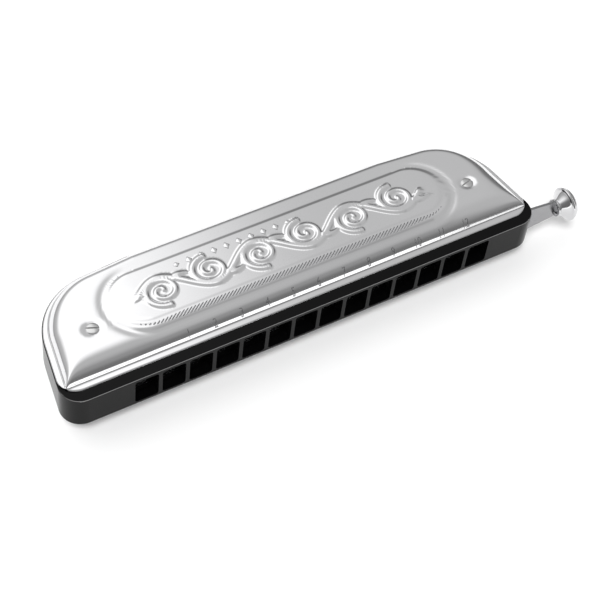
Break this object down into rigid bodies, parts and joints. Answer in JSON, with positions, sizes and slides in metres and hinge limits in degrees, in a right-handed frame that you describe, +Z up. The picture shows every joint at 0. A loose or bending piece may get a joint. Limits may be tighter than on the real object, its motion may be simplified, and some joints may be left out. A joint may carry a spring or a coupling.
{
  "type": "slide harmonica",
  "caption": "Slide chromatic harmonica: black one-piece comb and mouthpiece between formed metal covers, brass reed plates inside and a sprung slide with a turned knob.",
  "frame": {"origin": "middle of the lower cover's flat panel, where the instrument lies on a table", "axes": "+X along the body to the slide's knob, +Y from the mouth edge to the back, +Z up"},
  "size_m": [0.1833, 0.0439, 0.0237],
  "materials": {
    "comb": "moulded gloss with fine satin wear",
    "chrome_sheet": "bright plated sheet, faintly brushed",
    "brass_plate": "rolled and ground",
    "reed_brass": "filed bright",
    "valve_film": "matt film",
    "screw_steel": "nickel plated",
    "slide_steel": "plated strip, lengthwise grain",
    "knob_chrome": "turned and plated",
    "spring_steel": "drawn wire",
    "bumper_rubber": "soft matt"
  },
  "bodies": {
    "body": {"comb_body": "comb", "top_cover": "chrome_sheet", "bottom_cover": "chrome_sheet", "upper_reed_plate": "brass_plate", "lower_reed_plate": "brass_plate", "upper_blow_reeds": "reed_brass", "lower_blow_reeds": "reed_brass", "upper_draw_reeds": "reed_brass", "lower_draw_reeds": "reed_brass", "upper_reed_rivets": "reed_brass", "lower_reed_rivets": "reed_brass", "upper_outer_valves": "valve_film", "lower_outer_valves": "valve_film", "upper_inner_valves": "valve_film", "lower_inner_valves": "valve_film", "upper_plate_screws": "screw_steel", "lower_plate_screws": "screw_steel", "cover_screws": "screw_steel", "cover_nuts": "screw_steel", "slide_spring": "spring_steel", "spring_pin": "spring_steel", "stop_pin": "spring_steel", "slide_bumper": "bumper_rubber"},
    "slide": {"slide_bar": "slide_steel", "slide_knob": "knob_chrome"}
  },
  "joints": [
    {"name": "slide_press", "type": "slide", "parent": "body", "child": "slide", "axis": [-1, 0, 0], "range_m": [0, 0.0045], "stiffness_N_per_m": 250, "springref_m": -0.006, "deforming": ["slide_spring"]}
  ]
}
